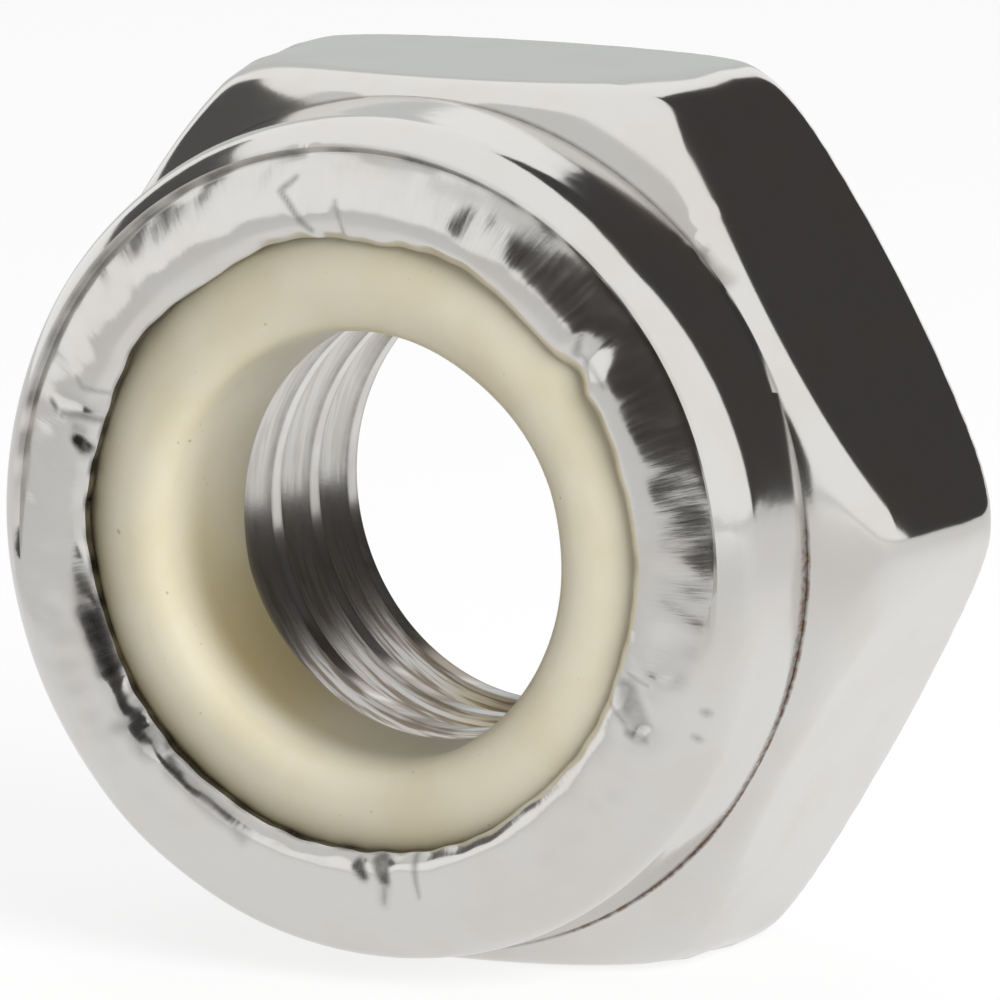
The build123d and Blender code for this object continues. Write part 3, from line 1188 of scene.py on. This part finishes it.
@dataclass
class NylonRing:
    """The ring that grips the screw, swollen a little through the lip.

    Args:
        bore_radius: radius of its bore.
        outer_radius: radius in the pocket.
        neck_radius: radius inside the lip.
        seat_height: height of its back face.
        pocket_top: height of its straight side.
        neck_height: height at which it meets the lip.
        crown_height: height of its front.
        entry_radius: rounding of the bore's mouth.
        front_limit: height that its uneven front stays under.
        front_ripple: unevenness of its front.
        bore_ripple: unevenness of its bore.
        bore_shift: how far one side of its bore is pushed in.
        shift_side: turn angle in degrees of that side.
        lip_shade: painted shade beside the lip all round, from 0 to 1.
        lower_left_shade: painted shade added beside the lip on the lower left.
        bore_shade: painted shade deep inside the bore, below.
        columns: columns round the ring.
    """

    bore_radius: float = 4.22
    outer_radius: float = 7.03
    neck_radius: float = 5.83
    seat_height: float = 5.7
    pocket_top: float = 7.48
    neck_height: float = 8.51
    crown_height: float = 8.93
    entry_radius: float = 0.6
    front_limit: float = 8.945
    front_ripple: float = 0.012
    bore_ripple: float = 0.008
    bore_shift: float = 0.19
    shift_side: float = 108.0
    lip_shade: float = 0.15
    lower_left_shade: float = 0.5
    bore_shade: float = 0.85
    columns: int = 360

    def section(self) -> list[Point]:
        """Draw the ring's closed section.

        Returns:
            Radius and height of each point.
        """
        crown = self.bore_radius + self.entry_radius
        width, rise = self.neck_radius - crown, self.crown_height - self.neck_height
        bulge = (width * width + rise * rise) / (2 * rise)
        sweep = math.degrees(math.asin(min(1.0, width / bulge)))
        points = run_to((self.bore_radius, self.seat_height), (self.outer_radius, self.seat_height), 6)
        points += run_to((self.outer_radius, self.seat_height), (self.outer_radius, self.pocket_top), 3)
        points += run_to((self.outer_radius, self.pocket_top), (self.neck_radius, self.neck_height), 5)
        points += arc_to((crown, self.crown_height - bulge), bulge, 90 - sweep, 90, 16)
        points += arc_to((crown, self.crown_height - self.entry_radius), self.entry_radius, 90, 180, 12)
        mouth = self.crown_height - self.entry_radius
        points += run_to((self.bore_radius, mouth), (self.bore_radius, self.seat_height), 12)
        return points

    def build_mesh(self) -> bpy.types.Object:
        """Spin the ring, paint shade beside its lip and deep in its bore, and shade it smooth.

        Returns:
            The finished ring.
        """
        ring = spin_section("nylon_ring", self.section(), self.columns, closed=True)
        place = Cylinder.of(ring)
        radius, height, angle = place.radius.copy(), place.height.copy(), place.angle
        front = place.height > self.neck_height - 0.1
        swell = self.front_ripple * Ripple(31, (2, 9), 0.2, 12).at(angle, place.radius)
        height = np.minimum(height + np.where(front, swell, 0), self.front_limit)
        bore = place.radius < self.bore_radius + 0.05
        worn = self.bore_ripple * Ripple(33, (2, 7), 0.3, 12).at(angle, place.height)
        radius += np.where(bore, worn, 0)
        pushed = np.cos(turn_from(angle, self.shift_side)).clip(0, 1) * step_up(place.radius, 5.1, 4.25)
        radius -= self.bore_shift * pushed
        Cylinder(radius, height, angle).write(ring)

        # Painted shade: darker beside the lip all round, more on the lower left, and deep in the bore
        # below
        edge = step_up(place.radius, 4.95, 5.9) * front
        lower_left = np.cos(turn_from(angle, 215)).clip(0, 1)
        inside = bore * step_up(place.height, 8.4, 7.2) * np.cos(turn_from(angle, 235)).clip(0, 1)
        beside_lip = edge * (self.lip_shade + self.lower_left_shade * lower_left)
        shade = np.maximum(beside_lip, self.bore_shade * inside)
        mark_points(ring, "edge_shade", shade)
        close_shell(ring, 40.0)
        return ring

    def dress(self, ring: bpy.types.Object, nylon: bpy.types.Material) -> None:
        """Give the ring its finish and tie it to the frame."""
        ring.data.materials.clear()
        ring.data.materials.append(nylon)
        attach(ring, "root")
        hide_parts("nylon_insert")


# The studio


def towards(azimuth: float, elevation: float) -> Vector:
    """Point from the nut in a direction.

    Args:
        azimuth: direction in degrees from +Y towards +X.
        elevation: direction in degrees above the horizon.

    Returns:
        A vector one long.
    """
    turn, rise = math.radians(azimuth), math.radians(elevation)
    return Vector((math.sin(turn) * math.cos(rise), math.cos(turn) * math.cos(rise), math.sin(rise)))


def add_seen_directly(tree: bpy.types.NodeTree) -> tuple[bpy.types.Node, bpy.types.NodeSocket]:
    """Add the nodes that tell rays that show a surface from rays that only light it.

    Args:
        tree: node tree they go into.

    Returns:
        The node that is 1 for camera, mirrored and transmitted rays, and the camera's own output.
    """
    larger = {"operation": "MAXIMUM"}
    path = add_node(tree, "LightPath").outputs
    seen = add_node(tree, "Math", larger, {0: path["Is Camera Ray"], 1: path["Is Glossy Ray"]})
    seen = add_node(tree, "Math", larger, {0: seen, 1: path["Is Transmission Ray"]})
    return seen, path["Is Camera Ray"]


@dataclass(frozen=True)
class Flag:
    """A card out of the camera's sight that gives the polished steel something to mirror.

    Args:
        name: name of the card.
        azimuth: direction in degrees from +Y towards +X.
        elevation: direction in degrees above the horizon.
        size: width and height in millimetres.
        shade: its colour.
        lean: turn in its own plane in degrees.
        distance: distance from the nut in millimetres.
    """

    name: str
    azimuth: float
    elevation: float
    size: Point
    shade: str
    lean: float = 0.0
    distance: float = 200.0

    def place(self) -> bpy.types.Object:
        """Set the card up, facing the nut.

        Returns:
            The card.
        """
        clear_selection()
        bpy.ops.mesh.primitive_plane_add(size=1.0)
        card = bpy.context.object
        card.name = self.name
        out = towards(self.azimuth, self.elevation)
        level = towards(self.azimuth + 90, 0)
        lean = math.radians(self.lean)
        side = level * math.cos(lean) + level.cross(out) * math.sin(lean)
        up = side.cross(out)
        matrix = Matrix((side, up, out)).transposed().to_4x4()
        scale = Matrix.Diagonal((self.size[0] * MM, self.size[1] * MM, 1, 1))
        card.data.transform(Matrix.Translation(out * self.distance * MM) @ matrix @ scale)
        material, tree = new_material(self.name + "_card")
        glow = add_node(tree, "Emission", {}, {"Color": linear(self.shade), "Strength": 1.0})
        add_node(tree, "OutputMaterial", {}, {"Surface": glow})
        card.data.materials.append(material)
        card.visible_camera = False
        card.visible_diffuse = False
        card.visible_shadow = False
        return card


@dataclass(frozen=True)
class Softbox:
    """A large soft lamp.

    Args:
        name: name of the lamp.
        azimuth: direction in degrees from +Y towards +X.
        elevation: direction in degrees above the horizon.
        size: width and height in millimetres.
        power: radiant power in watts.
        distance: distance from the nut in millimetres.
    """

    name: str
    azimuth: float
    elevation: float
    size: Point
    power: float
    distance: float = 260.0

    def place(self) -> bpy.types.Object:
        """Set the lamp up, facing the nut.

        Returns:
            The lamp.
        """
        data = bpy.data.lights.new(self.name, "AREA")
        data.shape = "RECTANGLE"
        data.size, data.size_y = self.size[0] * MM, self.size[1] * MM
        data.energy = self.power
        lamp = bpy.data.objects.new(self.name, data)
        bpy.context.scene.collection.objects.link(lamp)
        out = towards(self.azimuth, self.elevation)
        lamp.location = out * self.distance * MM
        lamp.rotation_euler = out.to_track_quat("Z", "Y").to_euler()
        lamp.visible_glossy = False
        return lamp


@dataclass
class Studio:
    """Pale floor, white surroundings, soft lamps, cards and the camera.

    Args:
        floor_height: height of the floor in millimetres.
        floor_size: side of the floor in millimetres.
        floor_colour: colour of the floor.
        camera_azimuth: camera direction in degrees from -Y towards +X.
        camera_elevation: camera direction in degrees above the horizon.
        camera_roll: roll of the camera in degrees.
        camera_distance: distance from its target in millimetres.
        target_y: the target's place on the Y axis in millimetres.
        focal_pixels: focal length in pixels of the 1000 pixel frame.
        offset: offset of the optical axis in pixels, right and down.
        sky_light: strength of the world for everything but mirrored and seen white.
        far_grey: brightness of the floor some way off, as the steel mirrors it.
        floor_white: brightness of the floor's glow to the camera, which makes up for its shaded share.
        floor_glow: share of what is seen of the floor that glows; the rest is lit, and keeps the shadow.
        flags: the cards.
        lamps: the lamps.
    """

    floor_height: float = -8.5
    floor_size: float = 3000.0
    floor_colour: str = "#F2F2F2"
    camera_azimuth: float = 28.49
    camera_elevation: float = 10.37
    camera_roll: float = -0.57
    camera_distance: float = 223.19
    target_y: float = -3.125
    focal_pixels: float = 11631.0
    offset: Point = (-1.05, -1.68)
    sky_light: float = 0.37
    far_grey: float = 0.78
    floor_white: float = 1.12
    floor_glow: float = 0.7
    flags: tuple[Flag, ...] = (
        Flag("back_right_flag", 30.0, 32.0, (190.0, 262.0), "#434140"),
        Flag("left_flag", -93.0, 29.0, (190.0, 78.0), "#575655"),
        Flag("front_flag", 166.0, 13.0, (195.0, 130.0), "#3C3937", 10.0),
        Flag("back_left_card", -34.0, 14.0, (120.0, 90.0), "#CDD0CF"),
        Flag("front_left_card", -165.0, 49.0, (300.0, 90.0), "#DADAD9", 8.0),
    )
    lamps: tuple[Softbox, ...] = (
        Softbox("right_softbox", 114.0, 26.0, (150.0, 150.0), 0.56),
        Softbox("top_softbox", -40.0, 72.0, (200.0, 160.0), 0.12),
    )

    def set_world(self) -> None:
        """Make the surroundings white to the camera and in reflections, and softer as a light."""
        world = bpy.data.worlds.new("studio_white")
        bpy.context.scene.world = world
        world.use_nodes = True
        tree = world.node_tree
        tree.nodes.clear()
        seen, _ = add_seen_directly(tree)
        inputs = {0: seen, 1: 1 - self.sky_light, 2: self.sky_light}
        strength = add_node(tree, "Math", {"operation": "MULTIPLY_ADD"}, inputs)
        light = add_node(tree, "Background", {}, {"Color": (1, 1, 1, 1), "Strength": strength})
        add_node(tree, "OutputWorld", {}, {"Surface": light})

    def lay_floor(self) -> None:
        """Lay the pale floor: white apart from the nut's soft shadow, and mirrored greyer far off."""
        clear_selection()
        bpy.ops.mesh.primitive_plane_add(size=self.floor_size * MM)
        floor = bpy.context.object
        floor.name = "floor"
        floor.data.transform(Matrix.Translation((0, 0, self.floor_height * MM)))
        material, tree = new_material("matt_white_sweep")
        multiply, smooth = {"operation": "MULTIPLY"}, {"interpolation_type": "SMOOTHSTEP"}
        seen, to_camera = add_seen_directly(tree)
        where = add_node(tree, "TexCoord").outputs["Object"]
        depth = add_node(tree, "SeparateXYZ", {}, {0: where}).outputs["Y"]
        reach = add_node(tree, "VectorMath", {"operation": "LENGTH"}, {0: where})
        front = add_node(tree, "MapRange", smooth, {0: depth, 1: -12 * MM, 2: 8 * MM, 3: 0.9, 4: 1.0})
        near_far = {0: reach, 1: 14 * MM, 2: 52 * MM, 3: 1.0, 4: self.far_grey}
        fall = add_node(tree, "MapRange", smooth, near_far)
        mirrored = add_node(tree, "Math", multiply, {0: front, 1: fall})
        full = add_node(tree, "Math", multiply, {0: to_camera, 1: self.floor_white})
        direct = add_node(tree, "Math", {"operation": "MAXIMUM"}, {0: mirrored, 1: full})
        matt = add_node(tree, "BsdfDiffuse", {}, {"Color": linear(self.floor_colour)})
        white = add_node(tree, "Emission", {}, {"Color": (1, 1, 1, 1), "Strength": direct})
        share = add_node(tree, "Math", multiply, {0: seen, 1: self.floor_glow})
        both = add_node(tree, "MixShader", {}, {0: share, 1: matt.outputs[0], 2: white.outputs[0]})
        add_node(tree, "OutputMaterial", {}, {"Surface": both})
        floor.data.materials.append(material)

    def set_camera(self) -> None:
        """Put the camera where the photograph was taken from."""
        turn, rise = math.radians(self.camera_azimuth), math.radians(self.camera_elevation)
        back = Vector((math.sin(turn) * math.cos(rise), -math.cos(turn) * math.cos(rise), math.sin(rise)))
        right = (-back).cross(Vector((0, 0, 1))).normalized()
        up = right.cross(-back)
        roll = math.radians(self.camera_roll)
        x_axis = right * math.cos(roll) + up * math.sin(roll)
        y_axis = up * math.cos(roll) - right * math.sin(roll)
        matrix = Matrix((x_axis, y_axis, back)).transposed().to_4x4()
        matrix.translation = (back * self.camera_distance + Vector((0, self.target_y, 0))) * MM
        data = bpy.data.cameras.new("camera")
        data.sensor_width = 36.0
        data.lens = self.focal_pixels / 1000 * data.sensor_width
        data.clip_start = 0.01
        data.clip_end = 20.0
        data.shift_x, data.shift_y = -self.offset[0] / 1000, self.offset[1] / 1000
        camera = bpy.data.objects.new("camera", data)
        camera.matrix_world = matrix
        bpy.context.scene.collection.objects.link(camera)
        bpy.context.scene.camera = camera

    def build(self) -> None:
        """Set up the whole studio."""
        bpy.context.scene.view_settings.view_transform = "Standard"
        self.set_world()
        self.lay_floor()
        self.set_camera()
        for flag in self.flags:
            flag.place()
        for lamp in self.lamps:
            lamp.place()


def main() -> None:
    """Build the nut, its ring and the studio."""
    logging.basicConfig(level=logging.INFO, format="%(message)s")
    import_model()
    Studio().build()
    LOG.info("studio set up")

    body = NutBody()
    skin = body.build_mesh()
    body.dress(skin, TumbledStainless().build())
    LOG.info("steel nut: %d faces", len(skin.data.polygons))

    ring_maker = NylonRing()
    ring = ring_maker.build_mesh()
    ring_maker.dress(ring, MouldedNylon().build())
    LOG.info("nylon ring: %d faces", len(ring.data.polygons))


if __name__ == "__main__":
    main()
